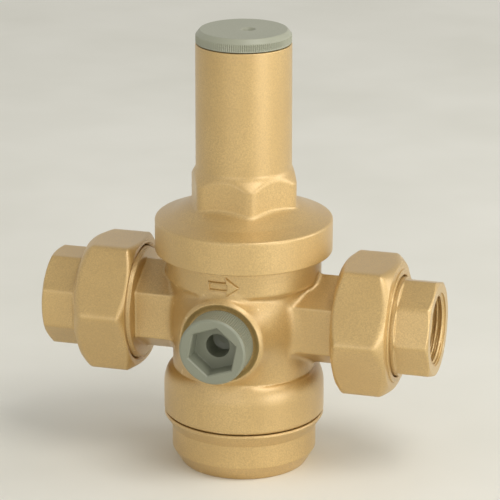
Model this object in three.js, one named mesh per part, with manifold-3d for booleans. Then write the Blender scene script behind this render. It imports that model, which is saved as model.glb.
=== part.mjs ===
// Pressure reducing valve, DN 20, with female union ends. Millimetres, +Z up.
// The pipe axis runs along X at height AXIS_Z, the inlet is at -X and the outlet at +X.
// The gauge port faces -Y. The flat underside of the bottom cap lies on Z = 0, and the adjusting
// axis is the Z axis.
import * as THREE from "three";
import { mergeVertices } from "three/addons/utils/BufferGeometryUtils.js";
import Module from "manifold-3d";

const wasm = await Module();
wasm.setup();

// ---- Overall sizes -------------------------------------------------------------------------
const AXIS_Z = 56.9; // height of the pipe axis above the base
const HALF_LENGTH = 72.5; // valve axis to the outer face of either tailpiece
const TOP_Z = 162.6; // top face of the adjusting cap
const GAP = 0.3; // clearance between neighbouring pieces
const EDGE = 0.6; // small chamfer on turned edges
const ROUND = 48; // facets of the large round shapes
const FINE = 24; // facets of the small round shapes
const TORUS_STEPS = 32; // facets round an O-ring, and round its section
const TORUS_SECTION = 8;

// ---- Body ----------------------------------------------------------------------------------
const BARREL_R = 26;
const RING_R = 29.4; // lower ring, which takes the bottom cap
const RING_BASE_Z = 19.6;
const RING_TOP_Z = 29.5;
const SHOULDER_TOP_Z = 37;
const COLLAR_R = 28.2; // upper collar, which carries the flow arrow
const COLLAR_BASE_Z = 71;
const COLLAR_FILLET = 1.6;
const COLLAR_TOP_Z = 80.6;
const SPIGOT_R = 26.6; // externally threaded neck under the bonnet
const SPIGOT_TOP_Z = 89.5;
const UPPER_CHAMBER_R = 21;
const UPPER_CHAMBER_Z = 68.5;
const THROAT_R = 9;
const WEB_BASE_Z = 44;
const WEB_TOP_Z = 52;
const SEAT_HOLE_R = 8.5;
const LOWER_CHAMBER_R = 20;
const WATERWAY_R = 9.5;
const INLET_INNER_X = 14.5; // the inlet bore stops here, clear of the throat
const TRANSFER_R = 4.5; // drilling that takes the inlet water down below the seat
const TRANSFER_X = -19.5;
const ARROW_Z = 75.4;
const ARROW_RAISE = 0.85;
const ARROW_TIP_X = 6.6;
const ARROW_NECK_X = 1.4; // where the head meets the shaft
const ARROW_TAIL_X = -5.2;
const ARROW_HALF_HEAD = 3.9;
const ARROW_HALF_SHAFT = 1.9;
const ARROW_HALF_SLOT = 0.8;
const ARROW_WALL = 0.8;
const ARROW_STOCK = 8; // length of the bar that the arrow is cut from
const ARROW_SUNK = 5; // how much of that bar lies behind the collar's front

// ---- Side stubs and unions -----------------------------------------------------------------
const STUB_CORNER_R = 17.1; // hexagonal stub, corners up and down
const STUB_END_X = 37.2;
const STUB_COLLAR_R = 20.2;
const THREAD_START_X = 38;
const THREAD_R = 20.7; // G 1 1/4 union thread, drawn plain
const THREAD_END_X = 48.5;
const NUT_CORNER_R = 26.9;
const NUT_START_X = 38.3;
const NUT_END_X = 58.8;
const NUT_BORE_R = 21.1;
const NUT_LIP_R = 18.5;
const NUT_LIP_X = 54.4;
const NUT_CHAMFER_R = 23.6; // open end
const NUT_CHAMFER_LENGTH = 2;
const NUT_FACE_R = 21; // closed end, where two cones take the corners off
const NUT_FACE_X = 58.2;
const NUT_CROWN_R = 23.2; // edge between the two cones
const NUT_CROWN_X = 57.8;
const NUT_RIM_R = 20.6; // low rim round the closed end's hole
const NUT_SHOULDER_X = 54.6;
const GASKET_THICKNESS = 1.6;
const GASKET_R = 19;
const GASKET_BORE_R = 12;
const TAIL_COLLAR_R = 19.3;
const TAIL_NECK_R = 17.9;
const TAIL_CORNER_R = 18.3;
const TAIL_FLATS_X = 59.9;
const TAIL_CHAMFER_LENGTH = 1.3;
const TAIL_FACE_R = 16.6;
const TAIL_BORE_R = 11;
const SOCKET_R = 12.6; // G 3/4 female thread, drawn plain
const SOCKET_DEPTH = 15;
const SOCKET_MOUTH_R = 13.3; // plain recess in front of the thread
const SOCKET_MOUTH_DEPTH = 0.6;

// ---- Gauge port and plug -------------------------------------------------------------------
const PORT_Z = 55.2; // height of the gauge port's axis
const BOSS_R = 15.2;
const BOSS_FACE_Y = -31;
const BOSS_FOOT_R = 20.5; // the boss flares where it meets the barrel
const BOSS_FOOT_Y = -15;
const BOSS_RECESS = 1.1; // shallow recess round the port, which the plug's head sits in
const BOSS_RECESS_R = 14.4;
const BOSS_RECESS_FLOOR_R = 12.8;
const PORT_R = 6.6; // G 1/4 female thread, drawn plain
const PORT_FLOOR_Y = -23.5;
const PORT_DRILL_R = 3.5;
const PLUG_R = 12.2;
const PLUG_FACE_Y = -40.8;
const PLUG_SEAT_Y = BOSS_FACE_Y + BOSS_RECESS - GAP;
const PLUG_GROOVE_Y = PLUG_SEAT_Y + 1.6; // middle of the O-ring groove
const PLUG_GROOVE_DEPTH = 1.3;
const PLUG_GROOVE_HALF_WIDTH = 1;
const PLUG_ORING_R = 5.75;
const PLUG_ORING_SECTION_R = 0.6;
const PLUG_SHANK_R = 6.3;
const PLUG_SHANK_Y = -24.6;
const PLUG_HEX_CORNER_R = 9.2;
const PLUG_HEX_TURN = 19; // degrees
const PLUG_HEX_DEPTH = 7.4;
const PLUG_HOLE_R = 4.3;
const PLUG_HOLE_DEPTH = 15.6;
const PLUG_TEETH = 60;
const KNURL_DEPTH = 0.35;

// ---- Bonnet and top cap --------------------------------------------------------------------
const RIM_R = 32.2;
const RIM_BASE_Z = 81;
const RIM_TOP_Z = 92.3;
const RIM_FILLET = [31.8, 93.2]; // radius and height of the middle of the rim's fillet
const DOME_EDGE = [30.8, 93.6]; // radius and height where the dome meets the rim's fillet
const DOME_MIDDLE = [26.1, 95.4];
const DOME_TOP_Z = 100.2;
const RECESS_R = 27;
const RECESS_TOP_Z = 93.1;
const CHAMBER_MOUTH_R = 20.5; // cone between the recess and the spring bore
const CHAMBER_MOUTH_HEIGHT = 4.4;
const HEX_CORNER_R = 20.9; // wrench hexagon on the bonnet, before its corners are rounded
const HEX_ROUND_R = 20.2;
const HEX_TURN = 23; // degrees, of the front corner from -Y towards +X
const HEX_BASE_Z = 95;
const HEX_TOP_Z = 112;
const HEX_CHAMFER_HEIGHT = 4.2;
const HOUSING_R = 17.35;
const HOUSING_TOP_R = 17.2;
const HOUSING_TOP_Z = 157.6;
const SPRING_BORE_R = 14.2;
const WEB_UNDER_Z = 150;
const WEB_OVER_Z = 153.5;
const KEY_WIDTH = 2.6;
const KEY_DEPTH = 1.6;
const KEY_BASE_Z = 103.1;
const CAP_R = 17.1;
const CAP_FACE_R = 15.6;
const CAP_BEVEL_Z = 160.7;
const CAP_SPIGOT_R = 13.9;
const CAP_SPIGOT_Z = 154.2;
const CAP_WALL = 1.8;
const CAP_TEETH = 72;
const VENT_X = 1.7; // the vent hole sits a little off centre, and is countersunk
const VENT_R = 1.3;
const VENT_MOUTH_R = 2.7;

// ---- Adjusting gear ------------------------------------------------------------------------
const SCREW_R = 4;
const SCREW_END_Z = 121;
const SCREW_HEAD_CORNER_R = 5.8;
const SCREW_FLANGE_R = 6.5;
const SCREW_FLANGE_THICKNESS = 2.2;
const SPRING_NUT_Z = 136.3;
const SPRING_NUT_HEIGHT = 5.5;
const SPRING_R = 10.2;
const SPRING_WIRE_R = 1.6;
const SPRING_TURNS = 6;
const SPRING_STEPS = 16; // steps in each turn
const SPRING_SECTION = 5; // segments of the wire's outline
const SPRING_PILOT_R = 8; // centres the spring on the nut and on the upper plate
const SPRING_PILOT_HEIGHT = 2.6;

// ---- Diaphragm and valve gear --------------------------------------------------------------
const STEM_R = 3;
const STEM_BASE_Z = 30.3;
const STEM_TOP_Z = 102;
const DIAPHRAGM_R = 26.2;
const DIAPHRAGM_Z = 89.8;
const DIAPHRAGM_THICKNESS = 1.7;
const PLATE_Z = DIAPHRAGM_Z + DIAPHRAGM_THICKNESS + GAP;
const PLATE_THICKNESS = 2.4;
const UPPER_PLATE_R = 15.2;
const LOWER_PLATE_R = 16;
const LOWER_PLATE_Z = DIAPHRAGM_Z - GAP - 2.7;
const SLIP_RING_INNER_R = 22.4;
const STEM_COLLAR_R = 4.5;
const STEM_COLLAR_HEIGHT = 1.9;
const STEM_NUT_CORNER_R = 5.8;
const STEM_NUT_HEIGHT = 3.4;

// ---- Valve seat and disc -------------------------------------------------------------------
const SEAT_RING_Z = 42;
const SEAT_R = 6;
const SEAT_FLANGE_R = 10.8;
const HOLDER_R = 10.8;
const HOLDER_BASE_Z = 32;
const HOLDER_FLOOR_Z = 36.4; // floor of the pocket for the disc seal
const HOLDER_LIP_Z = 38;
const HOLDER_LIP_R = 10;
const PISTON_BASE_Z = 14;
const PISTON_GROOVE_R = 3.6;
const PISTON_GROOVE = [18.4, 20.6]; // heights of the O-ring groove
const PISTON_ORING_R = 4.45;
const PISTON_ORING_SECTION_R = 0.7;
const SEAL_TOP_Z = 39.1;
const DISC_NUT_CORNER_R = 5;
const DISC_NUT_TOP_Z = 41.6;

// ---- Bottom cap ----------------------------------------------------------------------------
const CAP_BARREL_R = 26.5;
const CAP_FOOT_R = 23.2;
const CAP_FOOT_Z = 5.5;
const CAP_FLARE_Z = 14;
const CAP_SEAM_Z = 19.2;
const CAP_LIP_R = 29; // flared upper edge
const CAP_LIP_HEIGHT = 1.4;
const CAP_NECK_R = 22.6; // externally threaded neck inside the body's lower ring
const CAP_NECK_TOP_Z = 29;
const CAP_GROOVE_DEPTH = 1.6;
const CAP_GROOVE = [20.3, 22.7]; // heights of the O-ring groove
const CAP_ORING_R = 21.9;
const CAP_ORING_SECTION_R = 0.8;
const CAP_BORE_R = 18.5;
const CAP_FLOOR_Z = 7;
const GUIDE_R = 8.5;
const GUIDE_TOP_Z = 25;
const GUIDE_BORE_R = 5.3;

const AXES = {
  X: new THREE.Matrix4().makeRotationY(Math.PI / 2),
  Y: new THREE.Matrix4().makeRotationX(Math.PI / 2),
};

// ---- Geometry helpers ----------------------------------------------------------------------

// A closed THREE geometry as a Manifold solid.
function solid(geometry) {
  const bare = new THREE.BufferGeometry();
  const source = geometry.index ? geometry.toNonIndexed() : geometry;
  bare.setAttribute("position", source.getAttribute("position"));
  const merged = mergeVertices(bare, 1e-4);
  return new wasm.Manifold(
    new wasm.Mesh({
      numProp: 3,
      vertProperties: merged.getAttribute("position").array,
      triVerts: new Uint32Array(merged.index.array),
    }),
  );
}

// A solid of revolution about Z. The profile is a list of [radius, z] that starts and ends on the
// axis, or closes on itself for a ring, and runs so that its faces point outwards.
function turned(profile, facets = ROUND) {
  const points = profile.map(([r, z]) => new THREE.Vector2(r, z));
  return solid(new THREE.LatheGeometry(points, facets).rotateX(Math.PI / 2));
}

// A plain cylinder about Z between two heights.
function rod(radius, z0, z1, facets = ROUND) {
  return turned([[0, z0], [radius, z0], [radius, z1], [0, z1]], facets);
}

// A ring about Z between two radii and two heights.
function ring(inner, outer, z0, z1, facets = ROUND) {
  return turned([[inner, z0], [outer, z0], [outer, z1], [inner, z1], [inner, z0]], facets);
}

// A regular prism about Z; its first corner lies at `turn` degrees from +X.
function prism(sides, cornerRadius, z0, z1, turn = 0) {
  const shape = new THREE.Shape();
  for (let i = 0; i < sides; i++) {
    const angle = THREE.MathUtils.degToRad(turn + (360 * i) / sides);
    const corner = [cornerRadius * Math.cos(angle), cornerRadius * Math.sin(angle)];
    if (i === 0) shape.moveTo(...corner);
    else shape.lineTo(...corner);
  }
  shape.closePath();
  const geometry = new THREE.ExtrudeGeometry(shape, { depth: z1 - z0, bevelEnabled: false });
  return solid(geometry.translate(0, 0, z0));
}

// A box from its smallest to its largest corner.
function block([x0, y0, z0], [x1, y1, z1]) {
  const geometry = new THREE.BoxGeometry(x1 - x0, y1 - y0, z1 - z0);
  return solid(geometry.translate((x0 + x1) / 2, (y0 + y1) / 2, (z0 + z1) / 2));
}

// A round ring of round section about Z.
function torus(radius, sectionRadius, z) {
  const geometry = new THREE.TorusGeometry(radius, sectionRadius, TORUS_SECTION, TORUS_STEPS);
  return solid(geometry.translate(0, 0, z));
}

// A disc with a shallow triangular knurl around its edge.
function knurled(radius, depth, teeth, z0, z1) {
  const shape = new THREE.Shape();
  for (let i = 0; i < 2 * teeth; i++) {
    const angle = (Math.PI * i) / teeth;
    const r = i % 2 ? radius - depth : radius;
    if (i === 0) shape.moveTo(r, 0);
    else shape.lineTo(r * Math.cos(angle), r * Math.sin(angle));
  }
  shape.closePath();
  const geometry = new THREE.ExtrudeGeometry(shape, { depth: z1 - z0, bevelEnabled: false });
  return solid(geometry.translate(0, 0, z0));
}

// Moves a solid from the Z axis onto the pipe axis or the gauge port's axis.
// Along X, its +Z end goes to +X (side 1) or to -X (side -1). Along Y, its +Z end goes to -Y.
function along(axis, part, side = 1) {
  let matrix = AXES[axis].clone();
  if (side < 0) matrix = new THREE.Matrix4().makeRotationZ(Math.PI).multiply(matrix);
  matrix.setPosition(0, 0, axis === "X" ? AXIS_Z : PORT_Z);
  return part.transform(matrix.elements);
}

function add(parts) {
  return parts.reduce((sum, part) => sum.add(part));
}

function cut(part, tools) {
  return tools.reduce((rest, tool) => rest.subtract(tool), part);
}

// ---- Materials and the assembly ------------------------------------------------------------
const MATERIALS = {
  forging: new THREE.MeshStandardMaterial({ color: 0xc9a665, metalness: 0.9, roughness: 0.5 }),
  machined: new THREE.MeshStandardMaterial({ color: 0xd8b672, metalness: 1, roughness: 0.3 }),
  plastic: new THREE.MeshStandardMaterial({ color: 0x8f9c97, metalness: 0, roughness: 0.6 }),
  steel: new THREE.MeshStandardMaterial({ color: 0xb8babd, metalness: 1, roughness: 0.35 }),
  rubber: new THREE.MeshStandardMaterial({ color: 0x1c1c1c, metalness: 0, roughness: 0.8 }),
  fibre: new THREE.MeshStandardMaterial({ color: 0x9a4a32, metalness: 0, roughness: 0.9 }),
};

const group = new THREE.Group();
group.name = "pressure_reducing_valve";

// Adds a solid to the assembly as one named mesh.
function place(name, part, material) {
  const raw = part.getMesh();
  const positions = new Float32Array(raw.numVert * 3);
  for (let i = 0; i < raw.numVert; i++) {
    positions.set(raw.vertProperties.subarray(i * raw.numProp, i * raw.numProp + 3), i * 3);
  }
  const geometry = new THREE.BufferGeometry();
  geometry.setAttribute("position", new THREE.BufferAttribute(positions, 3));
  geometry.setIndex(new THREE.BufferAttribute(new Uint32Array(raw.triVerts), 1));
  geometry.computeVertexNormals();
  const mesh = new THREE.Mesh(geometry, MATERIALS[material]);
  mesh.name = name;
  group.add(mesh);
}

// ---- Body ----------------------------------------------------------------------------------
function bodyShell() {
  const shoulder = [];
  const steps = 8;
  const rise = SHOULDER_TOP_Z - RING_TOP_Z;
  for (let i = 0; i <= steps; i++) {
    const t = (Math.PI / 2) * (i / steps);
    const r = BARREL_R + (RING_R - BARREL_R) * Math.cos(t);
    shoulder.push([r, RING_TOP_Z + rise * Math.sin(t)]);
  }
  return turned([
    [0, RING_BASE_Z],
    [RING_R - EDGE, RING_BASE_Z],
    [RING_R, RING_BASE_Z + EDGE],
    ...shoulder,
    [BARREL_R, COLLAR_BASE_Z - COLLAR_FILLET],
    [BARREL_R + COLLAR_FILLET / 2, COLLAR_BASE_Z - COLLAR_FILLET / 4],
    [COLLAR_R - EDGE, COLLAR_BASE_Z],
    [COLLAR_R, COLLAR_BASE_Z + EDGE],
    [COLLAR_R, COLLAR_TOP_Z],
    [SPIGOT_R, COLLAR_TOP_Z],
    [SPIGOT_R, SPIGOT_TOP_Z],
    [0, SPIGOT_TOP_Z],
  ]);
}

// One hexagonal stub with its round collar and threaded end, from the valve axis outwards.
function stub(side) {
  const round = turned([
    [0, STUB_END_X],
    [STUB_COLLAR_R - EDGE / 2, STUB_END_X],
    [STUB_COLLAR_R, STUB_END_X + EDGE / 2],
    [STUB_COLLAR_R, THREAD_START_X],
    [THREAD_R, THREAD_START_X + EDGE],
    [THREAD_R, THREAD_END_X - EDGE],
    [THREAD_R - EDGE, THREAD_END_X],
    [0, THREAD_END_X],
  ]);
  return along("X", prism(6, STUB_CORNER_R, 0, STUB_END_X + EDGE).add(round), side);
}

// The raised flow arrow on the collar, pointing to the outlet: a head and a hollow shaft.
function flowArrow() {
  const shape = new THREE.Shape();
  shape.moveTo(ARROW_TIP_X, 0);
  shape.lineTo(ARROW_NECK_X, ARROW_HALF_HEAD);
  shape.lineTo(ARROW_NECK_X, ARROW_HALF_SHAFT);
  shape.lineTo(ARROW_TAIL_X, ARROW_HALF_SHAFT);
  shape.lineTo(ARROW_TAIL_X, -ARROW_HALF_SHAFT);
  shape.lineTo(ARROW_NECK_X, -ARROW_HALF_SHAFT);
  shape.lineTo(ARROW_NECK_X, -ARROW_HALF_HEAD);
  shape.closePath();
  const slot = new THREE.Path();
  slot.moveTo(ARROW_TAIL_X + ARROW_WALL, ARROW_HALF_SLOT);
  slot.lineTo(ARROW_TAIL_X + ARROW_WALL, -ARROW_HALF_SLOT);
  slot.lineTo(ARROW_NECK_X + ARROW_WALL / 2, -ARROW_HALF_SLOT);
  slot.lineTo(ARROW_NECK_X + ARROW_WALL / 2, ARROW_HALF_SLOT);
  slot.closePath();
  shape.holes.push(slot);
  const geometry = new THREE.ExtrudeGeometry(shape, { depth: ARROW_STOCK, bevelEnabled: false });
  geometry.rotateX(Math.PI / 2).translate(0, -COLLAR_R + ARROW_SUNK, ARROW_Z);
  const raised = ring(COLLAR_R - 1, COLLAR_R + ARROW_RAISE, COLLAR_BASE_Z, COLLAR_TOP_Z);
  return solid(geometry).intersect(raised);
}

function gaugeBoss() {
  return along("Y", turned([
    [0, 0],
    [BOSS_FOOT_R, 0],
    [BOSS_FOOT_R, -BOSS_FOOT_Y],
    [BOSS_R, -BOSS_FACE_Y - 2 * EDGE],
    [BOSS_R - EDGE, -BOSS_FACE_Y],
    [0, -BOSS_FACE_Y],
  ]));
}

function bossRecess() {
  const floor = -BOSS_FACE_Y - BOSS_RECESS;
  return along("Y", turned([
    [0, floor],
    [BOSS_RECESS_FLOOR_R, floor],
    [BOSS_RECESS_R, -BOSS_FACE_Y],
    [BOSS_RECESS_R, 1 - BOSS_FACE_Y],
    [0, 1 - BOSS_FACE_Y],
  ]));
}

function body() {
  const outside = add([
    bodyShell(),
    stub(1),
    stub(-1),
    gaugeBoss(),
    flowArrow(),
  ]);
  return cut(outside, [
    rod(UPPER_CHAMBER_R, UPPER_CHAMBER_Z, SPIGOT_TOP_Z + 1),
    rod(THROAT_R, WEB_TOP_Z, UPPER_CHAMBER_Z + 1),
    rod(SEAT_HOLE_R, WEB_BASE_Z - 1, WEB_TOP_Z + 1),
    rod(LOWER_CHAMBER_R, RING_BASE_Z - 1, WEB_BASE_Z),
    rod(CAP_NECK_R + GAP, RING_BASE_Z - 1, CAP_NECK_TOP_Z + GAP),
    along("X", rod(WATERWAY_R, 0, THREAD_END_X + 1)),
    along("X", rod(WATERWAY_R, INLET_INNER_X, THREAD_END_X + 1), -1),
    rod(TRANSFER_R, WEB_BASE_Z - 2, AXIS_Z, FINE).translate([TRANSFER_X, 0, 0]),
    bossRecess(),
    along("Y", rod(PORT_R, -PORT_FLOOR_Y, -BOSS_FACE_Y + 1, FINE)),
    along("Y", rod(PORT_DRILL_R, 0, -PORT_FLOOR_Y + 1, FINE)),
  ]);
}

// ---- Bottom cap, with the guide for the valve's balancing piston ---------------------------
function bottomCap() {
  const outside = turned([
    [0, 0],
    [CAP_FOOT_R, 0],
    [CAP_BARREL_R, CAP_FOOT_Z],
    [CAP_BARREL_R, CAP_FLARE_Z],
    [CAP_LIP_R, CAP_SEAM_Z - CAP_LIP_HEIGHT],
    [RING_R, CAP_SEAM_Z - EDGE],
    [RING_R - EDGE, CAP_SEAM_Z],
    [CAP_NECK_R, CAP_SEAM_Z],
    [CAP_NECK_R, CAP_GROOVE[0]],
    [CAP_NECK_R - CAP_GROOVE_DEPTH, CAP_GROOVE[0]],
    [CAP_NECK_R - CAP_GROOVE_DEPTH, CAP_GROOVE[1]],
    [CAP_NECK_R, CAP_GROOVE[1]],
    [CAP_NECK_R, CAP_NECK_TOP_Z - EDGE],
    [CAP_NECK_R - EDGE, CAP_NECK_TOP_Z],
    [0, CAP_NECK_TOP_Z],
  ]);
  const well = rod(CAP_BORE_R, CAP_FLOOR_Z, CAP_NECK_TOP_Z + 1).subtract(
    rod(GUIDE_R, CAP_FLOOR_Z - 1, GUIDE_TOP_Z, FINE),
  );
  return cut(outside, [well, rod(GUIDE_BORE_R, CAP_FLOOR_Z + 2, GUIDE_TOP_Z + 1, FINE)]);
}

// ---- Bonnet --------------------------------------------------------------------------------
function bonnet() {
  const rim = turned([
    [0, RIM_BASE_Z],
    [RIM_R - EDGE, RIM_BASE_Z],
    [RIM_R, RIM_BASE_Z + EDGE],
    [RIM_R, RIM_TOP_Z],
    RIM_FILLET,
    DOME_EDGE,
    DOME_MIDDLE,
    [HOUSING_R, DOME_TOP_Z],
    [0, DOME_TOP_Z],
  ]);
  const chamfer = turned([
    [0, HEX_BASE_Z],
    [HEX_ROUND_R, HEX_BASE_Z],
    [HEX_ROUND_R, HEX_TOP_Z - HEX_CHAMFER_HEIGHT],
    [HOUSING_R, HEX_TOP_Z],
    [0, HEX_TOP_Z],
  ]);
  const housing = turned([
    [0, HEX_BASE_Z],
    [HOUSING_R, HEX_BASE_Z],
    [HOUSING_R, HEX_TOP_Z],
    [HOUSING_TOP_R, HOUSING_TOP_Z],
    [0, HOUSING_TOP_Z],
  ]);
  const wrench = prism(6, HEX_CORNER_R, HEX_BASE_Z, HEX_TOP_Z, HEX_TURN - 90).intersect(chamfer);
  const outside = add([rim, wrench, housing]);
  const hollow = turned([
    [0, RIM_BASE_Z - 1],
    [RECESS_R, RIM_BASE_Z - 1],
    [RECESS_R, RECESS_TOP_Z],
    [CHAMBER_MOUTH_R, RECESS_TOP_Z],
    [SPRING_BORE_R, RECESS_TOP_Z + CHAMBER_MOUTH_HEIGHT],
    [SPRING_BORE_R, WEB_UNDER_Z],
    [0, WEB_UNDER_Z],
  ]);
  const keys = [-1, 1].map((side) =>
    block(
      [side * SPRING_BORE_R - (side < 0 ? 1 : KEY_DEPTH), -KEY_WIDTH / 2, KEY_BASE_Z],
      [side * SPRING_BORE_R + (side < 0 ? KEY_DEPTH : 1), KEY_WIDTH / 2, WEB_UNDER_Z + 1],
    ),
  );
  return cut(outside, [
    cut(hollow, keys),
    rod(SCREW_R + GAP, WEB_UNDER_Z - 1, WEB_OVER_Z + 1, FINE),
    rod(SPRING_BORE_R, WEB_OVER_Z, HOUSING_TOP_Z + 1),
  ]);
}

// ---- Top cap -------------------------------------------------------------------------------
function topCap() {
  const base = HOUSING_TOP_Z + GAP;
  const limit = turned([
    [0, CAP_SPIGOT_Z],
    [CAP_R, CAP_SPIGOT_Z],
    [CAP_R, CAP_BEVEL_Z],
    [CAP_FACE_R, TOP_Z],
    [0, TOP_Z],
  ]);
  const disc = knurled(CAP_R, KNURL_DEPTH, CAP_TEETH, base, TOP_Z).intersect(limit);
  const vent = turned(
    [
      [0, base],
      [VENT_R, base],
      [VENT_R, TOP_Z - VENT_MOUTH_R + VENT_R],
      [VENT_MOUTH_R, TOP_Z],
      [VENT_MOUTH_R, TOP_Z + 1],
      [0, TOP_Z + 1],
    ],
    FINE,
  );
  return cut(disc.add(rod(CAP_SPIGOT_R, CAP_SPIGOT_Z, base + 1)), [
    rod(CAP_SPIGOT_R - CAP_WALL, CAP_SPIGOT_Z - 1, base + 1),
    vent.translate([VENT_X, 0, 0]),
  ]);
}

// ---- Adjusting gear ------------------------------------------------------------------------
function adjustingScrew() {
  const flangeTop = WEB_UNDER_Z - GAP;
  return add([
    prism(6, SCREW_HEAD_CORNER_R, WEB_OVER_Z + GAP, HOUSING_TOP_Z),
    rod(SCREW_R, SCREW_END_Z, HOUSING_TOP_Z - 1, FINE),
    rod(SCREW_FLANGE_R, flangeTop - SCREW_FLANGE_THICKNESS, flangeTop, FINE),
  ]);
}

function springNut() {
  const top = SPRING_NUT_Z + SPRING_NUT_HEIGHT;
  const slots = [-1, 1].map((side) =>
    block(
      [side * SPRING_BORE_R - KEY_DEPTH - GAP, -KEY_WIDTH / 2 - GAP, SPRING_NUT_Z - 1],
      [side * SPRING_BORE_R + KEY_DEPTH + GAP, KEY_WIDTH / 2 + GAP, top + 1],
    ),
  );
  const blank = turned([
    [0, SPRING_NUT_Z - SPRING_PILOT_HEIGHT],
    [SPRING_PILOT_R, SPRING_NUT_Z - SPRING_PILOT_HEIGHT],
    [SPRING_PILOT_R, SPRING_NUT_Z],
    [SPRING_BORE_R - GAP, SPRING_NUT_Z],
    [SPRING_BORE_R - GAP, top],
    [0, top],
  ]);
  const hole = rod(SCREW_R + GAP, SPRING_NUT_Z - SPRING_PILOT_HEIGHT - 1, top + 1, FINE);
  return cut(blank, [...slots, hole]);
}

// A closed-end helix of the given number of turns between two heights.
class SpringCurve extends THREE.Curve {
  constructor(radius, z0, z1, turns) {
    super();
    Object.assign(this, { radius, z0, z1, turns });
  }
  getPoint(t, target = new THREE.Vector3()) {
    const angle = 2 * Math.PI * this.turns * t;
    const z = THREE.MathUtils.lerp(this.z0, this.z1, t);
    return target.set(this.radius * Math.cos(angle), this.radius * Math.sin(angle), z);
  }
}

function spring() {
  const z0 = PLATE_Z + PLATE_THICKNESS + GAP;
  const z1 = SPRING_NUT_Z - GAP;
  const curve = new SpringCurve(SPRING_R, z0 + 1, z1 - 1, SPRING_TURNS);
  const section = new THREE.Shape();
  section.absarc(0, 0, SPRING_WIRE_R, 0, 2 * Math.PI);
  const geometry = new THREE.ExtrudeGeometry(section, {
    steps: SPRING_TURNS * SPRING_STEPS,
    curveSegments: SPRING_SECTION,
    extrudePath: curve,
  });
  return solid(geometry).intersect(rod(SPRING_BORE_R, z0, z1));
}

// ---- Diaphragm stack -----------------------------------------------------------------------
function diaphragm() {
  const low = DIAPHRAGM_Z;
  const high = DIAPHRAGM_Z + DIAPHRAGM_THICKNESS;
  return ring(STEM_R + GAP, DIAPHRAGM_R, low, high, FINE);
}

function upperPlate() {
  const top = PLATE_Z + PLATE_THICKNESS;
  return turned([
    [STEM_R + GAP, PLATE_Z],
    [UPPER_PLATE_R, PLATE_Z],
    [UPPER_PLATE_R, top],
    [SPRING_PILOT_R, top],
    [SPRING_PILOT_R, top + SPRING_PILOT_HEIGHT],
    [STEM_R + GAP, top + SPRING_PILOT_HEIGHT],
    [STEM_R + GAP, PLATE_Z],
  ]);
}

function stem() {
  const collarTop = LOWER_PLATE_Z - GAP;
  return turned(
    [
      [0, STEM_BASE_Z],
      [STEM_R, STEM_BASE_Z],
      [STEM_R, collarTop - STEM_COLLAR_HEIGHT],
      [STEM_COLLAR_R, collarTop - STEM_COLLAR_HEIGHT],
      [STEM_COLLAR_R, collarTop],
      [STEM_R, collarTop],
      [STEM_R, STEM_TOP_Z],
      [0, STEM_TOP_Z],
    ],
    FINE,
  );
}

function stemNut() {
  const base = PLATE_Z + PLATE_THICKNESS + SPRING_PILOT_HEIGHT + GAP;
  const top = base + STEM_NUT_HEIGHT;
  return prism(6, STEM_NUT_CORNER_R, base, top).subtract(rod(STEM_R + GAP, base - 1, top + 1, FINE));
}

// ---- Valve gear below the seat -------------------------------------------------------------
function seatRing() {
  return turned([
    [SEAT_R, SEAT_RING_Z],
    [SEAT_FLANGE_R, SEAT_RING_Z],
    [SEAT_FLANGE_R, WEB_BASE_Z - GAP],
    [SEAT_HOLE_R - GAP, WEB_BASE_Z - GAP],
    [SEAT_HOLE_R - GAP, WEB_TOP_Z],
    [SEAT_R, WEB_TOP_Z],
    [SEAT_R, SEAT_RING_Z],
  ]);
}

// The balancing piston, with the pocket for the disc seal and the stem on its upper end.
function discHolder() {
  const pistonR = GUIDE_BORE_R - GAP;
  return turned([
    [0, PISTON_BASE_Z],
    [pistonR, PISTON_BASE_Z],
    [pistonR, PISTON_GROOVE[0]],
    [PISTON_GROOVE_R, PISTON_GROOVE[0]],
    [PISTON_GROOVE_R, PISTON_GROOVE[1]],
    [pistonR, PISTON_GROOVE[1]],
    [pistonR, HOLDER_BASE_Z],
    [HOLDER_R, HOLDER_BASE_Z],
    [HOLDER_R, HOLDER_LIP_Z],
    [HOLDER_LIP_R, HOLDER_LIP_Z],
    [HOLDER_LIP_R, HOLDER_FLOOR_Z],
    [STEM_R + GAP, HOLDER_FLOOR_Z],
    [STEM_R + GAP, STEM_BASE_Z - GAP],
    [0, STEM_BASE_Z - GAP],
  ]);
}

function discSeal() {
  return ring(STEM_R + 2, HOLDER_LIP_R - GAP, HOLDER_FLOOR_Z + GAP, SEAL_TOP_Z, FINE);
}

function discNut() {
  const base = SEAL_TOP_Z + GAP;
  const hole = rod(STEM_R + GAP, base - 1, DISC_NUT_TOP_Z + 1, FINE);
  return prism(6, DISC_NUT_CORNER_R, base, DISC_NUT_TOP_Z).subtract(hole);
}

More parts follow.
